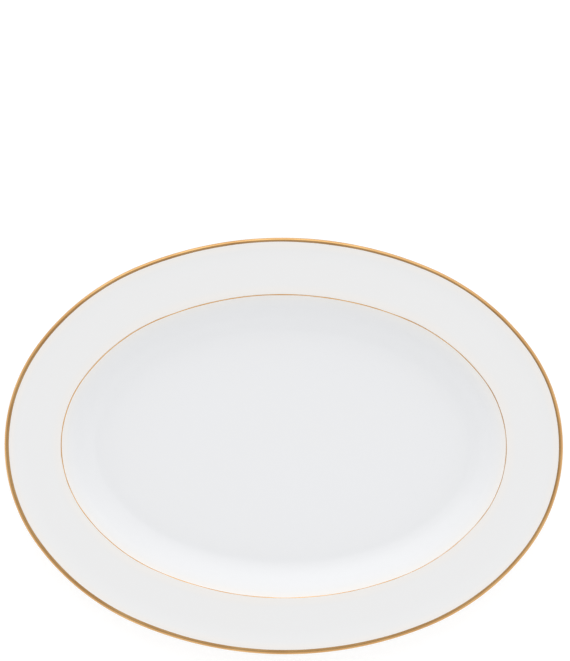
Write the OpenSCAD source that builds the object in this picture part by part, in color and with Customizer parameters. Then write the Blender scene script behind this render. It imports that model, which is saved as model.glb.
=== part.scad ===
// Oval serving platter in glazed porcelain, with a gilt edge and a gilt line round the well.
// Millimetres. +Z is up and +X runs along the platter. The origin is at the middle of the foot
// ring, on the surface that the platter stands on.

/* [Plan] */
// Length over the gilt edge
platter_l = 356; // [340:1:372]
// Width over the gilt edge
platter_w = 265.6; // [258:0.2:273]
// Radius of the outline at each end
end_r = 107.7; // [104:0.1:112]

/* [Rim] */
// Width of the rim, from its edge to the verge where the well begins
rim_w = 36.1; // [33:0.1:38]
// Slope of the rim, in degrees
rim_slope = 0.5; // [0:0.5:4]
// Width of the outer stretch of the rim that is lifted a little more
lift_w = 11; // [8:0.5:14]
// Slope of the lifted stretch, in degrees
lift_slope = 6; // [5:0.5:10]
// Thickness of the porcelain at the edge
edge_t = 2.7; // [2.4:0.1:3.4]

/* [Well] */
// Width in plan of the wall, from the verge to the flat floor
wall_w = 24.4; // [23:0.1:27]
// Slope of the wall at its steepest, in degrees
wall_slope = 43; // [38:0.5:46]
// Radius of the sweep from wall to floor
well_r = 26; // [20:0.5:28]
// Radius of the verge
verge_r = 2.4; // [1.5:0.1:3]
// Thickness of the porcelain in the wall
wall_t = 4.2; // [3.8:0.1:4.6]
// Thickness of the porcelain in the floor
floor_t = 4.4; // [4:0.1:5]

/* [Foot] */
// Distance in plan from the platter's edge to the middle of the foot ring
foot_in = 56.5; // [56:0.1:58]
// Width of the foot ring where it stands
foot_w = 3.4; // [3:0.1:4]
// Depth of the recess inside the foot ring
foot_h = 3.2; // [2.8:0.1:4]
// Height of the bare porcelain at the bottom of the foot ring
bare_h = 1.1; // [0.9:0.1:1.4]

/* [Glaze and gilding] */
// Thickness of the glaze
glaze_t = 0.25; // [0.2:0.05:0.35]
// Thickness of the gilding
gilt_t = 0.06; // [0.04:0.01:0.1]
// Width of the gilding on the face of the edge
gilt_face_w = 2.4; // [1.8:0.1:3.6]
// Width of the gilding under the edge
gilt_back_w = 2; // [1.6:0.1:3]

/* [Hidden] */
$fn = 180;

BISQUE = "#efe9dd";
GLAZE = "#f5f6f8";
GILT = "#cf9a3f";

// The furthest that a bend's chords lie inside its arc
sag = 0.01;

// The outline is an eight-arc oval. The centres of its end, shoulder and side arcs are set out
// with a 3-4-5 triangle and a 5-12-13 triangle, so that each arc runs into the next unbroken.
half_l = platter_l / 2;
half_w = platter_w / 2;
unit_345 = (half_w - (half_l - half_w) / 4 - end_r) * 2 / 3;
unit_51213 = (half_l - half_w - 2 * unit_345) / 4;
end_c = [half_l - end_r, 0];
shoulder_c = end_c - unit_345 * [4, 3];
side_c = shoulder_c - unit_51213 * [5, 12];
shoulder_r = end_r + 5 * unit_345;
side_r = shoulder_r + 13 * unit_51213;
// Each arc: centre, radius, and the directions from its centre to its two ends
ARCS = [
    [end_c, end_r, [4, -3], [4, 3]],
    [shoulder_c, shoulder_r, [4, 3], [5, 12]],
    [side_c, side_r, [5, 12], [-5, 12]],
    [[-shoulder_c.x, shoulder_c.y], shoulder_r, [-5, 12], [-4, 3]],
    [-end_c, end_r, [-4, 3], [-4, -3]],
    [-shoulder_c, shoulder_r, [-4, -3], [-5, -12]],
    [-side_c, side_r, [-5, -12], [5, -12]],
    [[shoulder_c.x, -shoulder_c.y], shoulder_r, [5, -12], [4, -3]],
];
// How far a wedge that cuts one arc out of a full ring reaches, in its directions' own units
wedge_reach = 100;

// The section is drawn with x = 0 at the platter's edge and the middle of the platter at -x.
// It is swept round the outline as far in as sweep_in, and a slab fills the middle of the oval.
// The slab's corners lie on the outline moved in by slab_in, so that the two overlap.
sweep_in = 80;
slab_in = 64;

// Heights of the floor, of the corner of the verge, of the line where the lift begins, and of
// the edge, under the glaze
well_tangent = well_r * tan(wall_slope / 2);
floor_z = foot_h + floor_t;
verge_z = floor_z + (wall_w - well_tangent) * tan(wall_slope);
lift_z = verge_z + (rim_w - lift_w) * tan(rim_slope);
skin_t = glaze_t + gilt_t;
edge_z = lift_z + (lift_w - skin_t) * tan(lift_slope);

// The edge is rounded by two bends, whose radius is this share of its thickness
nose_share = 0.46;
nose_r = edge_t * nose_share;
// Radii of the other bends: where the rim's lift begins, then down the back to the foot ring
lift_bend_r = 90;
back_verge_r = 6;
shoulder_bend_r = 24;
foot_root_r = 1.4;
foot_corner_r = 0.8;
// Slope of the back just outside the foot ring, how far above the recess it meets the ring, and
// lean of the ring's two sides
heel_slope = 12;
heel_rise = 0.7;
foot_lean = 5;

// The wall's back is the wall moved out square to itself by wall_t
mean_slope = (wall_slope + rim_slope) / 2;
verge_move = wall_t / cos((wall_slope - rim_slope) / 2);
verge = [-rim_w, verge_z];
back_verge = verge + verge_move * [sin(mean_slope), -cos(mean_slope)];

// The foot ring's sides lean, so its roots are wider apart than its standing face
foot_outer = [-foot_in + foot_w / 2, 0];
foot_inner = [-foot_in - foot_w / 2, 0];
heel = foot_outer + (foot_h + heel_rise) * [tan(foot_lean), 1];
arch = foot_inner + foot_h * [-tan(foot_lean), 1];

// Where the wall's back meets the line that rises from the heel
heel_run = (back_verge.y - heel.y - (back_verge.x - heel.x) * tan(wall_slope))
    / (tan(heel_slope) - tan(wall_slope));
shoulder = heel + heel_run * [1, tan(heel_slope)];

under_edge = [-skin_t, edge_z - edge_t];
over_edge = [-skin_t, edge_z];
lift = [-lift_w, lift_z];
well_corner = [-rim_w - wall_w + well_tangent, floor_z];
floor_end = [-sweep_in, floor_z];
recess_end = [-sweep_in, foot_h];

function unit(v) = v / norm(v);

// The normal on the right of the way from a to b, which is the outside of the section
function outward(a, b) = let (u = unit(b - a)) [u.y, -u.x];

// The point on the line from a to b that lies along past a, moved out by out
function beside(a, b, along, out) = a + unit(b - a) * along + outward(a, b) * out;

// Points of the bend of radius r at corner b, on the way from a to c, moved out by out. Only
// the share of the bend from first to last is drawn.
function bend(a, b, c, r, out, first = 0, last = 1) =
    let (
        u = unit(b - a),
        w = unit(c - b),
        turn = atan2(u.x * w.y - u.y * w.x, u * w),
        side = sign(turn),
        start = b - u * r * tan(abs(turn) / 2),
        normal = outward(a, b),
        centre = start - normal * r * side,
        heading = atan2(normal.y, normal.x),
        steps = 3 * ceil(abs(turn) / (6 * acos(1 - sag / r)))
    )
    [for (k = [first * steps:last * steps])
        let (t = heading + turn * k / steps)
        centre + (side * r + out) * [cos(t), sin(t)]];

function reversed(list) = [for (i = [len(list) - 1:-1:0]) list[i]];

// How far up the foot ring's leaning sides the bare porcelain reaches
bare_along = bare_h / cos(foot_lean);

// The back, edge and face in one line, from the foot ring's outer side to the end of the sweep
function outer_surface(out) = concat(
    [beside(foot_outer, heel, bare_along, out)],
    bend(foot_outer, heel, shoulder, foot_root_r, out),
    bend(heel, shoulder, back_verge, shoulder_bend_r, out),
    bend(shoulder, back_verge, under_edge, back_verge_r, out),
    bend(back_verge, under_edge, over_edge, nose_r, out),
    bend(under_edge, over_edge, lift, nose_r, out),
    bend(over_edge, lift, verge, lift_bend_r, out),
    bend(lift, verge, well_corner, verge_r, out),
    bend(verge, well_corner, floor_end, well_r, out),
    [floor_end + [0, out]]
);

// The recess, from where the sweep ends to the foot ring's inner side
function base_surface(out) = concat(
    [recess_end - [0, out]],
    bend(recess_end, arch, foot_inner, foot_root_r, out),
    [beside(foot_inner, arch, bare_along, -out)]
);

// The foot ring's bare standing face, with its two rounded corners
foot_face = concat(
    bend(arch, foot_inner, foot_outer, foot_corner_r, 0),
    bend(foot_inner, foot_outer, heel, foot_corner_r, 0)
);

// Carries a section round the outline, one arc at a time
module sweep(section) {
    for (arc = ARCS)
        translate(arc[0])
            intersection() {
                rotate_extrude() translate([arc[1], 0]) polygon(section);
                translate([0, 0, -wedge_reach])
                    linear_extrude(2 * wedge_reach)
                        polygon([[0, 0], arc[2] * wedge_reach, arc[3] * wedge_reach]);
            }
}

// A film between two heights on the same stretch of the section
module film(inside, outside) {
    sweep(concat(outside, reversed(inside)));
}

// Fills the middle of the oval from height low to height high
module slab(low, high) {
    j = end_c + (end_r - slab_in) * unit([4, 3]);
    k = side_c + (side_r - slab_in) * unit([5, 12]);
    translate([0, 0, low])
        linear_extrude(high - low)
            polygon([j, k, [-k.x, k.y], [-j.x, j.y], -j, -k, [k.x, -k.y], [j.x, -j.y]]);
}

// The fired porcelain, with its foot ring
module porcelain_body() {
    color(BISQUE) {
        sweep(concat(base_surface(0), foot_face, outer_surface(0)));
        slab(foot_h, floor_z);
    }
}

// The glaze on the face, over the edge and down the back to the foot ring
module glaze_coat() {
    color(GLAZE) {
        film(outer_surface(0), outer_surface(glaze_t));
        slab(floor_z, floor_z + glaze_t);
    }
}

// The glaze in the recess inside the foot ring
module base_glaze() {
    color(GLAZE) {
        film(base_surface(0), base_surface(glaze_t));
        slab(foot_h - glaze_t, foot_h);
    }
}

// The gold round the edge, from a little way under it to a little way over it
function edge_band(out) = concat(
    [beside(under_edge, back_verge, gilt_back_w, -out)],
    bend(back_verge, under_edge, over_edge, nose_r, out),
    bend(under_edge, over_edge, lift, nose_r, out),
    [beside(over_edge, lift, gilt_face_w, out)]
);

module edge_gilding() {
    color(GILT) film(edge_band(glaze_t), edge_band(skin_t));
}

// The gold line on the middle third of the verge's bend
function verge_line(out) = bend(lift, verge, well_corner, verge_r, out, 1 / 3, 2 / 3);

module verge_gilding() {
    color(GILT) film(verge_line(glaze_t), verge_line(skin_t));
}

porcelain_body();
glaze_coat();
base_glaze();
edge_gilding();
verge_gilding();
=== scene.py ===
"""An oval serving platter in white glazed porcelain, with a gilt edge and a gilt line round the well.

Lengths are in millimetres until a mesh is made, and then in metres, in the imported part's frame:
+X along the platter, +Z up, the origin at the middle of the foot ring on the surface it stands on.
"""

import math

import bpy
import numpy as np
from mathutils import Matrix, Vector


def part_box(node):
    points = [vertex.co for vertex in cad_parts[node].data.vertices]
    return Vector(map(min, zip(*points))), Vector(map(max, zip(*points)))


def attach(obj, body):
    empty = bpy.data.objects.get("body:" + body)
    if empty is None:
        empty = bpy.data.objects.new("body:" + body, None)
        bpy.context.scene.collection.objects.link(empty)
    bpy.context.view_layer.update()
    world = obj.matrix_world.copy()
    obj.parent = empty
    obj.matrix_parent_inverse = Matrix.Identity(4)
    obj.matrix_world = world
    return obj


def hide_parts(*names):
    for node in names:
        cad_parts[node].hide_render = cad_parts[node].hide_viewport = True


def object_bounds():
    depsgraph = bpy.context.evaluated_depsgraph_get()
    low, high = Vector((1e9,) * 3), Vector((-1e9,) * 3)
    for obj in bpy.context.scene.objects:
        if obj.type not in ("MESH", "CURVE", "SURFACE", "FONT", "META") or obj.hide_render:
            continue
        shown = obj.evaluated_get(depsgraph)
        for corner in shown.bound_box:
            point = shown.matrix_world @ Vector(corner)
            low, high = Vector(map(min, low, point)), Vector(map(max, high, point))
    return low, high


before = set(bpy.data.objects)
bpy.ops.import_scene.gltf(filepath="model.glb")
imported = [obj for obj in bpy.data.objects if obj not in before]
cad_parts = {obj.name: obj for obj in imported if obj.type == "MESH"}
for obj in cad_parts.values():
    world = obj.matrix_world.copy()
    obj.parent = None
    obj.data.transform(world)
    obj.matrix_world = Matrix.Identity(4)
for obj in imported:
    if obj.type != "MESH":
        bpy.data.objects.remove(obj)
cad_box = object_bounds()

MM = 0.001

# ---------------------------------------------------------------- sizes, as on the part

HALF_L, HALF_W, TOP = np.array(cad_box[1]) / MM  # the outline's half length and width, and the height
FOOT_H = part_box("base_glaze")[1].z / MM  # depth of the recess inside the foot ring
EDGE_R = 107.7  # radius of the outline at each end

GLAZE_T = 0.25
GILT_T = 0.06
SKIN_T = GLAZE_T + GILT_T

RIM_W = 36.1
RIM_SLOPE = math.radians(0.5)
LIFT_W = 11.0
LIFT_SLOPE = math.radians(6)
EDGE_T = 2.7
WALL_W = 24.4
WALL_SLOPE = math.radians(43)
WELL_R = 26.0
VERGE_R = 2.4
WALL_T = 4.2
FLOOR_T = 4.4
FOOT_IN = 56.5
FOOT_W = 3.4
BARE_H = 1.1
GILT_FACE_W = 2.4
GILT_BACK_W = 2.0

NOSE_R = 0.46 * EDGE_T
LIFT_BEND_R = 90.0
BACK_VERGE_R = 6.0
SHOULDER_BEND_R = 24.0
FOOT_ROOT_R = 1.4
FOOT_CORNER_R = 0.8
HEEL_SLOPE = math.radians(12)
FOOT_LEAN = math.radians(5)
HEEL_RISE = 0.7

FLAT_IN = 62.0  # how far in from the edge the floor is flat on both faces
TURNS = 384  # columns of every mesh round the outline
FILL_ROWS = 10  # steps of the floor from FLAT_IN to its middle
GAP = 3.0  # longest step along a coat's outside
SHARP = math.radians(40)  # faces that meet at more than this are shaded with a hard edge

# Over the foot ring the face draws down a little in firing, all the way round
DIP_IN = 57.5
DIP_W = 1.8
DIP_H = 0.045

POOL_GAIN = 15.0  # how strongly a bend draws the molten glaze, in millimetres
POOL_RUN = 4.0  # how far along the surface it is drawn
POOL_FLAT = 0.4  # how much glaze lies on a flat surface, where 1 is the most that gathers
POOL_LOW = 0.3  # how much more lies down in the well

LINE_SHARE = 0.27  # width of the gold line, as a share of the bend
LINE_LEAN = 0.10  # how far off the middle of the bend the gold line strays, as a share of the bend
LINE_THINS = 0.3  # how much thinner it gets there, and thicker on the far side, as a share
LINE_LEAN_AT = math.radians(-60)  # the direction in which it strays outwards and thins
LINE_WANDER = 0.05  # how far the gold line wanders, as a share of the bend
LINE_SWELL = 0.2  # how much its width swells and shrinks, as a share

UNDER_WANDER = 0.2  # how far the border of the edge's gold wanders on the back
OVER_WANDER = 0.1  # and on the face

BAND_LEAN = 0.2  # how much wider the edge's gold is on one side of the platter, and narrower opposite
BAND_LEAN_AT = math.radians(-135)  # the side on which it is wider

STREAK = 25.0  # how many times longer than wide the banding brush's streaks are


# ---------------------------------------------------------------- the outline


def outline(count):
    """The eight-arc oval at count places, evenly spaced along its length.

    The centres of its end, shoulder and side arcs are set out with a 3-4-5 triangle and a
    5-12-13 triangle. Returns the centre and radius of the arc at each place, the outward
    direction there, and the length along the outline: the platter's point at a distance s
    outside the outline is centre + (radius + s) * direction.
    """
    unit_345 = (HALF_W - (HALF_L - HALF_W) / 4 - EDGE_R) * 2 / 3
    unit_51213 = (HALF_L - HALF_W - 2 * unit_345) / 4
    end = np.array([HALF_L - EDGE_R, 0.0])
    shoulder = end - unit_345 * np.array([4, 3])
    side = shoulder - unit_51213 * np.array([5, 12])
    radii = (EDGE_R, EDGE_R + 5 * unit_345, EDGE_R + 5 * unit_345 + 13 * unit_51213)
    end_a, side_a = math.atan2(3, 4), math.atan2(12, 5)
    quarter = ((end, radii[0]), (shoulder, radii[1]), (side, radii[2]))
    limits = [0.0, end_a, side_a, math.pi / 2]
    arcs = []
    for turn in range(4):
        start = turn * math.pi / 2
        mirror = np.array([1 if turn in (0, 3) else -1, 1 if turn < 2 else -1])
        for i in (2, 1, 0) if turn % 2 else (0, 1, 2):
            first, last = limits[i], limits[i + 1]
            if turn % 2:
                first, last = math.pi / 2 - last, math.pi / 2 - first
            arcs.append((quarter[i][0] * mirror, quarter[i][1], start + first, start + last))
    lengths = np.array([radius * (last - first) for _, radius, first, last in arcs])
    ends = np.concatenate([[0], np.cumsum(lengths)])
    along = np.arange(count) * ends[-1] / count
    which = np.clip(np.searchsorted(ends, along, side="right") - 1, 0, len(arcs) - 1)
    centre = np.array([arc[0] for arc in arcs])[which]
    radius = np.array([arc[1] for arc in arcs])[which]
    heading = np.array([arc[2] for arc in arcs])[which] + (along - ends[which]) / radius
    direction = np.stack([np.cos(heading), np.sin(heading)], axis=1)
    return centre, radius, direction, along, ends[-1]


CENTRE, RADIUS, DIRECTION, ALONG, GIRTH = outline(TURNS)


def swept(s, z):
    """Grid of points for a section of distances s and heights z, each a column or a grid."""
    s, z = np.broadcast_arrays(np.atleast_2d(s), np.atleast_2d(z))
    if s.shape[1] == 1:
        s, z = np.repeat(s, TURNS, axis=1), np.repeat(z, TURNS, axis=1)
    flat = CENTRE + (RADIUS + s)[..., None] * DIRECTION
    return np.concatenate([flat, z[..., None]], axis=2)


# ---------------------------------------------------------------- the section


def unit(v):
    """The vector v made 1 long."""
    return v / np.linalg.norm(v)


def outward(a, b):
    """The normal on the right of the way from a to b, which is the outside of the section."""
    u = unit(b - a)
    return np.array([u[1], -u[0]])


def beside(a, b, along, out):
    """The point on the line from a to b that lies along past a, moved out by out."""
    return a + unit(b - a) * along + outward(a, b) * out


def bend(a, b, c, radius, out, steps, first=0.0, last=1.0):
    """Points of the round bend at corner b on the way from a to c, moved out by out.

    The bend is a circular arc that meets both lines, and first to last is the share of it
    that is drawn.
    """
    u, w = unit(b - a), unit(c - b)
    turn = math.atan2(u[0] * w[1] - u[1] * w[0], u @ w)
    side = math.copysign(1, turn)
    start = b - u * radius * math.tan(abs(turn) / 2)
    normal = outward(a, b)
    centre = start - normal * radius * side
    t = math.atan2(normal[1], normal[0]) + turn * np.linspace(first, last, steps + 1)
    return centre + (side * radius + out) * np.stack([np.cos(t), np.sin(t)], axis=1)


def spaced(points, gap):
    """The same line with points added on each straight stretch that is longer than gap."""
    out = [points[:1]]
    for a, b in zip(points[:-1], points[1:]):
        n = max(1, math.ceil(np.linalg.norm(b - a) / gap))
        out.append(a + (b - a) * np.arange(1, n + 1)[:, None] / n)
    return np.concatenate(out)


WELL_TANGENT = WELL_R * math.tan(WALL_SLOPE / 2)
FLOOR_Z = FOOT_H + FLOOR_T
VERGE_Z = FLOOR_Z + (WALL_W - WELL_TANGENT) * math.tan(WALL_SLOPE)
LIFT_Z = VERGE_Z + (RIM_W - LIFT_W) * math.tan(RIM_SLOPE)
EDGE_Z = LIFT_Z + (LIFT_W - SKIN_T) * math.tan(LIFT_SLOPE)
MEAN_SLOPE = (WALL_SLOPE + RIM_SLOPE) / 2
VERGE_MOVE = WALL_T / math.cos((WALL_SLOPE - RIM_SLOPE) / 2)
HEEL_Z = FOOT_H + HEEL_RISE

VERGE = np.array([-RIM_W, VERGE_Z])
BACK_VERGE = VERGE + VERGE_MOVE * np.array([math.sin(MEAN_SLOPE), -math.cos(MEAN_SLOPE)])
FOOT_OUTER = np.array([-FOOT_IN + FOOT_W / 2, 0.0])
FOOT_INNER = np.array([-FOOT_IN - FOOT_W / 2, 0.0])
HEEL = FOOT_OUTER + HEEL_Z * np.array([math.tan(FOOT_LEAN), 1.0])
ARCH = FOOT_INNER + FOOT_H * np.array([-math.tan(FOOT_LEAN), 1.0])
HEEL_RUN = (BACK_VERGE[1] - HEEL[1] - (BACK_VERGE[0] - HEEL[0]) * math.tan(WALL_SLOPE)) / (
    math.tan(HEEL_SLOPE) - math.tan(WALL_SLOPE)
)
SHOULDER = HEEL + HEEL_RUN * np.array([1.0, math.tan(HEEL_SLOPE)])
UNDER_EDGE = np.array([-SKIN_T, EDGE_Z - EDGE_T])
OVER_EDGE = np.array([-SKIN_T, EDGE_Z])
LIFT = np.array([-LIFT_W, LIFT_Z])
WELL_CORNER = np.array([-RIM_W - WALL_W + WELL_TANGENT, FLOOR_Z])
FLOOR_END = np.array([-FLAT_IN, FLOOR_Z])
RECESS_END = np.array([-FLAT_IN, FOOT_H])
BARE_ALONG = BARE_H / math.cos(FOOT_LEAN)


def outer_surface(out, fine=1):
    """The back, edge and face in one line, from the foot ring's outer side to the floor.

    The face is lowered by DIP_H times a bell curve of the distance from DIP_IN.
    """
    back = [
        [beside(FOOT_OUTER, HEEL, BARE_ALONG, out)],
        bend(FOOT_OUTER, HEEL, SHOULDER, FOOT_ROOT_R, out, 6 * fine),
        bend(HEEL, SHOULDER, BACK_VERGE, SHOULDER_BEND_R, out, 6 * fine),
        bend(SHOULDER, BACK_VERGE, UNDER_EDGE, BACK_VERGE_R, out, 6 * fine),
        bend(BACK_VERGE, UNDER_EDGE, OVER_EDGE, NOSE_R, out, 6 * fine),
    ]
    face = [
        bend(UNDER_EDGE, OVER_EDGE, LIFT, NOSE_R, out, 6 * fine),
        bend(OVER_EDGE, LIFT, VERGE, LIFT_BEND_R, out, 5 * fine),
        bend(LIFT, VERGE, WELL_CORNER, VERGE_R, out, 7 * fine),
        bend(VERGE, WELL_CORNER, FLOOR_END, WELL_R, out, 18 * fine),
        [FLOOR_END + [0, out]],
    ]
    face = np.concatenate(face)
    face[:, 1] -= DIP_H * np.exp(-(((face[:, 0] + DIP_IN) / DIP_W) ** 2))
    return np.concatenate([*back, face])


def base_surface(out):
    """The recess, from under the edge of the flat floor to the foot ring's inner side."""
    return np.concatenate(
        [
            [RECESS_END - [0, out]],
            bend(RECESS_END, ARCH, FOOT_INNER, FOOT_ROOT_R, out, 10),
            [beside(FOOT_INNER, ARCH, BARE_ALONG, -out)],
        ]
    )


def foot_face():
    """The foot ring's bare standing face, with its two rounded corners."""
    return np.concatenate(
        [
            bend(ARCH, FOOT_INNER, FOOT_OUTER, FOOT_CORNER_R, 0, 8),
            bend(FOOT_INNER, FOOT_OUTER, HEEL, FOOT_CORNER_R, 0, 8),
        ]
    )


# ---------------------------------------------------------------- meshes


def fill(row):
    """Rows from a row of the grid in to its middle, each the same oval drawn smaller."""
    share = np.linspace(1, 0, FILL_ROWS + 1)[1:-1, None, None]
    height = np.broadcast_to(row[None, :, 2:], (len(share), TURNS, 1))
    return np.concatenate([row[None, :, :2] * share, height], axis=2)


def make_mesh(name, rows, poles=(), loop=False, **values):
    """A closed mesh from a grid of rows round the platter, in millimetres.

    Column c of a row joins column c + 1, and the last joins the first. A loop's last row joins
    its first. Poles gives the height of the middle point that closes the first and the last
    row. Faces are turned so that the mesh holds a positive volume. Each of the values is a
    grid of numbers or vectors that becomes an attribute of that name.
    """
    count, turns = rows.shape[:2]
    points = rows.reshape(-1, 3)
    row, col = np.meshgrid(np.arange(count if loop else count - 1), np.arange(turns), indexing="ij")
    nxt, side = (row + 1) % count, (col + 1) % turns
    quads = np.stack([row * turns + col, row * turns + side, nxt * turns + side, nxt * turns + col], axis=-1)
    quads = quads.reshape(-1, 4)
    fans = []
    for end, height in enumerate(poles):
        points = np.concatenate([points, [[0.0, 0.0, height]]])
        c, base = np.arange(turns), end * (count - 1) * turns
        ring = [base + c, base + (c + 1) % turns]
        fans.append(np.stack([np.full(turns, len(points) - 1), *(ring[::-1] if end == 0 else ring)], axis=-1))
    tris = np.concatenate([quads[:, [0, 1, 2]], quads[:, [0, 2, 3]], *fans])
    a, b, c = (points[tris[:, k]] for k in range(3))
    if np.einsum("ij,ij->", a, np.cross(b, c)) < 0:
        quads = quads[:, ::-1]
        fans = [fan[:, ::-1] for fan in fans]
    mesh = bpy.data.meshes.new(name)
    mesh.from_pydata(points * MM, [], quads.tolist() + [f for fan in fans for f in fan.tolist()])
    for key, grid in values.items():
        kind, field = ("FLOAT_VECTOR", "vector") if grid.ndim == 3 else ("FLOAT", "value")
        ends = [grid[-end].mean(axis=0, keepdims=True) for end in range(len(poles))]
        flat = np.concatenate([grid.reshape(count * turns, *grid.shape[2:]), *ends])
        mesh.attributes.new(key, kind, "POINT").data.foreach_set(field, flat.ravel())
    mesh.shade_smooth()
    mesh.set_sharp_from_angle(angle=SHARP)
    obj = bpy.data.objects.new(name, mesh)
    bpy.context.scene.collection.objects.link(obj)
    return obj


def column(section):
    """A section line carried round the outline."""
    return swept(section[:, :1], section[:, 1:])


def pooling(section):
    """How much molten glaze gathers along a section line: near 0 over sharp edges, which it draws
    back from, more on the flat, more again down in the well, and towards 1 in hollows.

    It is POOL_FLAT, less POOL_FLAT times the tanh of POOL_GAIN times the line's left turn per
    millimetre, smoothed with a bell curve POOL_RUN wide, plus POOL_LOW times how far down the
    point lies between the verge and the floor.
    """
    step = np.diff(section, axis=0)
    along = np.concatenate([[0], np.cumsum(np.linalg.norm(step, axis=1))])
    turn = np.diff(np.unwrap(np.arctan2(step[:, 1], step[:, 0])))
    weight = np.exp(-(((along[:, None] - along[None, 1:-1]) / POOL_RUN) ** 2))
    drawn = np.tanh(POOL_GAIN * weight @ turn / (POOL_RUN * math.sqrt(math.pi)))
    low = np.clip((VERGE_Z - section[:, 1]) / (VERGE_Z - FLOOR_Z), 0, 1)
    return np.clip(POOL_FLAT - POOL_FLAT * drawn + POOL_LOW * low, 0, 1)


def on_rows(pool, rows):
    """The pooling at every point of the rows of a coat, whose outside is the rows just before the
    last fill. The last value of pool holds for the rest."""
    values = np.full(len(rows), pool[-1])
    start = len(rows) - FILL_ROWS + 1 - len(pool)
    values[start : start + len(pool)] = pool
    return np.repeat(values[:, None], TURNS, axis=1)


def glaze_coat():
    """The glaze on the face, over the edge and down the back: the body's surface, and the same
    moved out by GLAZE_T."""
    inside = column(outer_surface(0))
    line = spaced(outer_surface(GLAZE_T, fine=2), GAP)
    outside = column(line)
    rows = np.concatenate([fill(inside[-1])[::-1], inside[::-1], outside, fill(outside[-1])])
    poles = (FLOOR_Z, FLOOR_Z + GLAZE_T)
    return make_mesh("glaze_coat_fired", rows, poles, glaze_pool=on_rows(pooling(line), rows))


def porcelain_body():
    """The casting: recess, foot ring, back, edge and face in one closed surface."""
    rows = column(np.concatenate([base_surface(0), foot_face(), outer_surface(0)]))
    rows = np.concatenate([fill(rows[0])[::-1], rows, fill(rows[-1])])
    return make_mesh("porcelain_body_cast", rows, poles=(FOOT_H, FLOOR_Z))


def base_glaze():
    """The glaze in the recess: the body's surface, and the same moved out by GLAZE_T."""
    inside = column(base_surface(0))
    line = spaced(base_surface(GLAZE_T), GAP)
    outside = column(line[::-1])
    rows = np.concatenate([fill(inside[0])[::-1], inside, outside, fill(outside[-1])])
    poles = (FOOT_H, FOOT_H - GLAZE_T)
    return make_mesh("base_glaze_fired", rows, poles, glaze_pool=on_rows(pooling(line)[::-1], rows))


def waver(seed, size, waves=(5, 9, 14, 23, 37)):
    """A slow, closed wander round the outline, as of a brush held to a turning plate.

    It is a sum of cosines with the given numbers of waves, each with a random size and start and
    weakened by the root of its number, scaled so that the furthest it goes is size.
    """
    rng = np.random.default_rng(seed)
    turn = 2 * math.pi * ALONG / GIRTH
    total = sum(rng.normal() * np.cos(n * turn + rng.uniform(0, 2 * math.pi)) / n**0.5 for n in waves)
    return size * total / np.abs(total).max()


def brush_lay(rows):
    """Where each point lies on a band that a brush laid: its place on the outline shrunk STREAK
    times, and its length across the band, so that a pattern on it is drawn out along the band."""
    flat = (CENTRE + RADIUS[:, None] * DIRECTION) / STREAK
    across = np.concatenate([[0], np.cumsum(np.linalg.norm(np.diff(rows[:, 0], axis=0), axis=1))])
    flat = np.broadcast_to(flat, (len(rows), TURNS, 2))
    return np.concatenate([flat, np.broadcast_to(across[:, None, None], (len(rows), TURNS, 1))], axis=2) * MM


def edge_gilding():
    """The gold over the edge. Its two borders wander a little, along the straight of the section."""

    def band(out):
        return np.concatenate(
            [
                [beside(UNDER_EDGE, BACK_VERGE, GILT_BACK_W, -out)],
                bend(BACK_VERGE, UNDER_EDGE, OVER_EDGE, NOSE_R, out, 10),
                bend(UNDER_EDGE, OVER_EDGE, LIFT, NOSE_R, out, 10),
                [beside(OVER_EDGE, LIFT, GILT_FACE_W, out)],
            ]
        )

    def wandering(out):
        grid = column(band(out))
        facing = DIRECTION @ np.array([math.cos(BAND_LEAN_AT), math.sin(BAND_LEAN_AT)])
        under, over = waver(3, UNDER_WANDER), waver(4, OVER_WANDER) + BAND_LEAN * facing
        for end, a, b, shift in ((0, UNDER_EDGE, BACK_VERGE, under), (-1, OVER_EDGE, LIFT, over)):
            step, shift = unit(b - a), shift[:, None]
            grid[end] += np.concatenate([DIRECTION * step[0] * shift, step[1] * shift], axis=1)
        return grid

    rows = np.concatenate([wandering(SKIN_T), wandering(GLAZE_T)[::-1]])
    return make_mesh("edge_gilding_fired", rows, loop=True, brush_lay=brush_lay(rows))


def verge_gilding():
    """The gold line on the verge's bend, LINE_SHARE of it wide, give or take, near its middle."""
    u, w = unit(VERGE - LIFT), unit(WELL_CORNER - VERGE)
    turn = math.atan2(u[0] * w[1] - u[1] * w[0], u @ w)
    normal = outward(LIFT, VERGE)
    centre = VERGE - u * VERGE_R * math.tan(turn / 2) - normal * VERGE_R
    facing = DIRECTION @ np.array([math.cos(LINE_LEAN_AT), math.sin(LINE_LEAN_AT)])
    middle = 0.5 + waver(11, LINE_WANDER) - LINE_LEAN * facing
    half = LINE_SHARE * (1 + waver(12, LINE_SWELL, (7, 19, 31, 53)) - LINE_THINS * facing) / 2
    share = middle + np.linspace(-1, 1, 7)[:, None] * half
    t = math.atan2(normal[1], normal[0]) + turn * share

    def arc(out):
        return swept(centre[0] + (VERGE_R + out) * np.cos(t), centre[1] + (VERGE_R + out) * np.sin(t))

    rows = np.concatenate([arc(SKIN_T), arc(GLAZE_T)[::-1]])
    return make_mesh("verge_gilding_fired", rows, loop=True, brush_lay=brush_lay(rows))


# ---------------------------------------------------------------- materials


# Sizes of the patterns, in metres, and depths of the bumps
CLOUD = 0.06  # patches where the glaze lies a little thicker or thinner
RIPPLE = 0.007  # waves in the glaze, left by the flowing melt
RIPPLE_H = 4e-6
GRAIN = 0.0006  # grain of the bare body, coarser than the real one so that it shows
GRAIN_H = 5e-5
BRISTLE = 0.0005  # width of the streaks that the brush leaves
BRISTLE_H = 6e-6
PATCH = 0.03  # stretches where the gold fired paler or deeper


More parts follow.
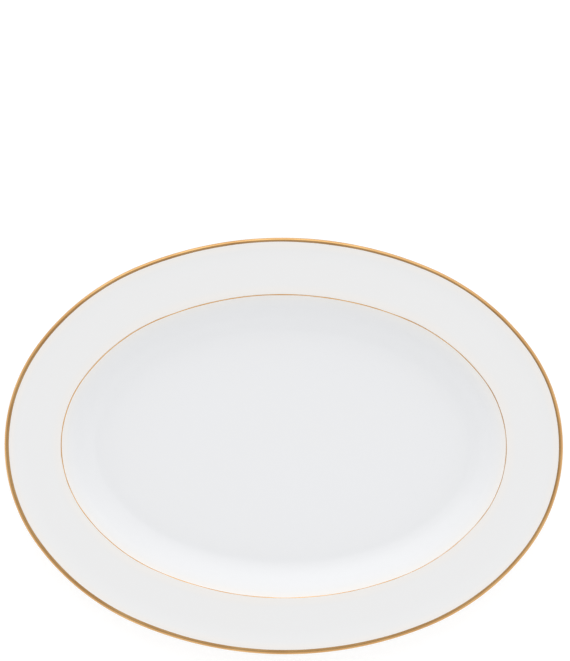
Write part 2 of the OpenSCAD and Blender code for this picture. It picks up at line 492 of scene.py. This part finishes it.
def linear(hex_colour):
    """An sRGB hex colour as linear RGBA."""
    rgb = [int(hex_colour[i : i + 2], 16) / 255 for i in (1, 3, 5)]
    return [v / 12.92 if v <= 0.04045 else ((v + 0.055) / 1.055) ** 2.4 for v in rgb] + [1.0]


def add(tree, kind, sockets=None, **settings):
    """Adds a node. The settings are its properties, and sockets gives each input, by its name or
    its index, a value or the output that feeds it."""
    node = tree.nodes.new(kind)
    for key, value in settings.items():
        setattr(node, key, value)
    for key, value in (sockets or {}).items():
        if isinstance(value, bpy.types.NodeSocket):
            tree.links.new(value, node.inputs[key])
        else:
            node.inputs[key].default_value = value
    return node


def new_material(name, **sockets):
    """A material with one Principled shader, and that shader's inputs set to the values given."""
    material = bpy.data.materials.new(name)
    material.use_nodes = True
    tree = material.node_tree
    tree.nodes.clear()
    shader = add(tree, "ShaderNodeBsdfPrincipled", {k.replace("_", " "): v for k, v in sockets.items()})
    add(tree, "ShaderNodeOutputMaterial", {"Surface": shader.outputs["BSDF"]})
    return material, tree, shader


def ramp(tree, value, *stops):
    """The colour of a ramp over value, with stops of a place and a hex colour."""
    node = add(tree, "ShaderNodeValToRGB", {"Fac": value})
    elements = node.color_ramp.elements
    while len(elements) < len(stops):
        elements.new(0.5)
    for element, (place, colour) in zip(elements, stops):
        element.position, element.color = place, linear(colour)
    return node.outputs["Color"]


def roughen(tree, shader, height, depth):
    """Bumps the shader's surface by height times depth."""
    bump = add(tree, "ShaderNodeBump", {"Height": height, "Strength": 1.0, "Distance": depth})
    tree.links.new(bump.outputs["Normal"], shader.inputs["Normal"])


def glazed_porcelain():
    """White hard-paste porcelain under a clear glaze: a glassy coat that pools a touch cool and
    blue in the hollows, draws thin and warm over the verge and the edge, and ripples faintly."""
    material, tree, shader = new_material("glazed_porcelain", Roughness=0.06, IOR=1.5)
    coord = add(tree, "ShaderNodeTexCoord").outputs["Object"]
    pool = add(tree, "ShaderNodeAttribute", attribute_name="glaze_pool").outputs["Fac"]
    cloud = add(tree, "ShaderNodeTexNoise", {"Vector": coord, "Scale": 1 / CLOUD, "Detail": 2.0})
    lay = {0: cloud.outputs["Fac"], 1: 0.3, 2: pool}
    drift = add(tree, "ShaderNodeMath", lay, operation="MULTIPLY_ADD").outputs[0]
    tone = ramp(tree, drift, (0.2, "#eeebe8"), (0.5, "#ebebeb"), (0.95, "#ebecee"))
    tree.links.new(tone, shader.inputs["Base Color"])
    ripple = add(tree, "ShaderNodeTexNoise", {"Vector": coord, "Scale": 1 / RIPPLE, "Detail": 1.0})
    roughen(tree, shader, ripple.outputs["Fac"], RIPPLE_H)
    return material


def unglazed_bisque():
    """Porcelain fired without glaze and wiped clean: matt, cream and finely grained, like chalk."""
    material, tree, shader = new_material("unglazed_bisque", Roughness=0.85)
    coord = add(tree, "ShaderNodeTexCoord").outputs["Object"]
    grain = add(tree, "ShaderNodeTexNoise", {"Vector": coord, "Scale": 1 / GRAIN, "Detail": 3.0})
    tone = ramp(tree, grain.outputs["Fac"], (0.3, "#d9cfbe"), (0.7, "#f0eadf"))
    tree.links.new(tone, shader.inputs["Base Color"])
    roughen(tree, shader, grain.outputs["Fac"], GRAIN_H)
    return material


def fired_gold():
    """Liquid gold laid on with a banding brush and fired: a satin metal, warm and slightly brown,
    with fine streaks along the band and stretches that fired paler or deeper."""
    material, tree, shader = new_material("fired_gold", Metallic=1.0, Roughness=0.24)
    coord = add(tree, "ShaderNodeTexCoord").outputs["Object"]
    lay = add(tree, "ShaderNodeAttribute", attribute_name="brush_lay").outputs["Vector"]
    streak = add(tree, "ShaderNodeTexNoise", {"Vector": lay, "Scale": 1 / BRISTLE, "Detail": 3.0})
    patch = add(tree, "ShaderNodeTexNoise", {"Vector": coord, "Scale": 1 / PATCH, "Detail": 2.0})
    mix = {0: streak.outputs["Fac"], 1: 0.5, 2: patch.outputs["Fac"]}
    both = add(tree, "ShaderNodeMath", mix, operation="MULTIPLY_ADD").outputs[0]
    tone = ramp(tree, both, (0.45, "#c59762"), (0.75, "#d3a770"), (1.05, "#dfb67f"))
    tree.links.new(tone, shader.inputs["Base Color"])
    roughen(tree, shader, streak.outputs["Fac"], BRISTLE_H)
    return material


TABLE_LIT = 0.3  # how far from its middle the table is lit in full, in metres
TABLE_DIM = 1.2  # how far out it is lit least
TABLE_GLOW = 0.5  # radiance where it is lit in full
TABLE_FAR = 0.14  # radiance where it is lit least


def light_table():
    """The opal acrylic top of a light table: white where it is lit from below, grey further out."""
    material, tree, shader = new_material("opal_acrylic", Base_Color=linear("#c8c8c8"), Roughness=0.6)
    coord = add(tree, "ShaderNodeTexCoord").outputs["Object"]
    away = add(tree, "ShaderNodeVectorMath", {0: coord}, operation="LENGTH").outputs["Value"]
    fall = {"Value": away, "From Min": TABLE_LIT, "From Max": TABLE_DIM}
    fall |= {"To Min": TABLE_GLOW, "To Max": TABLE_FAR}
    lit = add(tree, "ShaderNodeMapRange", fall, interpolation_type="SMOOTHSTEP").outputs["Result"]
    shader.inputs["Emission Color"].default_value = linear("#ffffff")
    tree.links.new(lit, shader.inputs["Emission Strength"])
    return material


def finish_piece(piece, material, node):
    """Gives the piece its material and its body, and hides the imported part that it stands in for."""
    piece.data.materials.append(material)
    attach(piece, "root")
    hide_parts(node)


glaze = glazed_porcelain()
gold = fired_gold()
finish_piece(porcelain_body(), unglazed_bisque(), "porcelain_body")
finish_piece(glaze_coat(), glaze, "glaze_coat")
finish_piece(base_glaze(), glaze, "base_glaze")
finish_piece(edge_gilding(), gold, "edge_gilding")
finish_piece(verge_gilding(), gold, "verge_gilding")


# ---------------------------------------------------------------- stage, lights and camera

FLOOR_HALF = 15.0  # half the width of the table, in metres


def stage_floor():
    """The table's top, a square face at the height of the foot ring's standing face."""
    mesh = bpy.data.meshes.new("table")
    h = FLOOR_HALF
    mesh.from_pydata([(-h, -h, 0), (h, -h, 0), (h, h, 0), (-h, h, 0)], [], [(0, 1, 2, 3)])
    mesh.materials.append(light_table())
    table = bpy.data.objects.new("table", mesh)
    bpy.context.scene.collection.objects.link(table)


TENT = 0.945  # radiance of the tent's walls high up
LOW = 0.28  # radiance that the walls gain down at the table
OPENING = 0.43  # radiance seen in the middle of the opening over the table
OPENING_AT = (-0.19, -0.07, 0.98)
OPENING_EDGE = 0.81  # cosine of the angle from its middle at which the opening has faded out
GLOW = 0.78  # radiance that the lamps behind the far wall add at their middle
GLOW_AT = (-0.10, 0.76, 0.64)
GLOW_FALL = 6


def tent():
    """A white light tent round the table, with lamps behind its far wall and an opening above.

    The radiance from a direction d is TENT, brought down evenly to OPENING as the cosine between
    d and OPENING_AT goes from OPENING_EDGE to 1, plus GLOW times the cosine between d and GLOW_AT
    to the power GLOW_FALL, plus LOW times the square of 1 less d's rise.
    """
    world = bpy.data.worlds.new("light_tent")
    world.use_nodes = True
    tree = world.node_tree
    way = add(tree, "ShaderNodeTexCoord").outputs["Generated"]

    def toward(direction):
        """The cosine between the way looked in and a direction."""
        sides = {0: way, 1: unit(np.array(direction))}
        return add(tree, "ShaderNodeVectorMath", sides, operation="DOT_PRODUCT").outputs["Value"]

    seen = toward(OPENING_AT)
    fade = {"Value": seen, "From Min": OPENING_EDGE, "From Max": 1.0, "To Min": TENT, "To Max": OPENING}
    walls = add(tree, "ShaderNodeMapRange", fade).outputs["Result"]
    facing = add(tree, "ShaderNodeMath", {0: toward(GLOW_AT), 1: 0.0}, operation="MAXIMUM").outputs[0]
    glow = add(tree, "ShaderNodeMath", {0: facing, 1: GLOW_FALL}, operation="POWER").outputs[0]
    lamps = add(tree, "ShaderNodeMath", {0: glow, 1: GLOW, 2: walls}, operation="MULTIPLY_ADD").outputs[0]
    down = add(tree, "ShaderNodeMath", {0: 1.0, 1: toward((0, 0, 1))}, operation="SUBTRACT", use_clamp=True)
    low = add(tree, "ShaderNodeMath", {0: down.outputs[0], 1: 2.0}, operation="POWER").outputs[0]
    total = add(tree, "ShaderNodeMath", {0: low, 1: LOW, 2: lamps}, operation="MULTIPLY_ADD").outputs[0]
    tree.links.new(total, tree.nodes["Background"].inputs["Strength"])
    tree.nodes["Background"].inputs["Color"].default_value = linear("#ffffff")
    bpy.context.scene.world = world


# The camera looks straight down on the platter from far off
VIEW_DISTANCE = 3.0
VIEW_HEIGHT = 0.4210  # how much of the platter's plane the frame's long side takes in
VIEW_OFF = (0.0008, 0.0736)  # where the camera stands, off the platter's middle
VIEW_ROLL = 0.009


def camera():
    """A long lens that looks straight down, turned by VIEW_ROLL."""
    data = bpy.data.cameras.new("overhead")
    cam = bpy.data.objects.new("overhead", data)
    data.sensor_width = 36.0
    data.lens = data.sensor_width * VIEW_DISTANCE / VIEW_HEIGHT
    c, s = math.cos(VIEW_ROLL), math.sin(VIEW_ROLL)
    x, y = VIEW_OFF
    cam.location = (c * x - s * y, s * x + c * y, TOP * MM + VIEW_DISTANCE)
    cam.rotation_euler = (0, 0, VIEW_ROLL)
    data.clip_start, data.clip_end = 0.1, 50.0
    bpy.context.scene.collection.objects.link(cam)
    bpy.context.scene.camera = cam


stage_floor()
tent()
camera()
bpy.context.scene.view_settings.view_transform = "Standard"
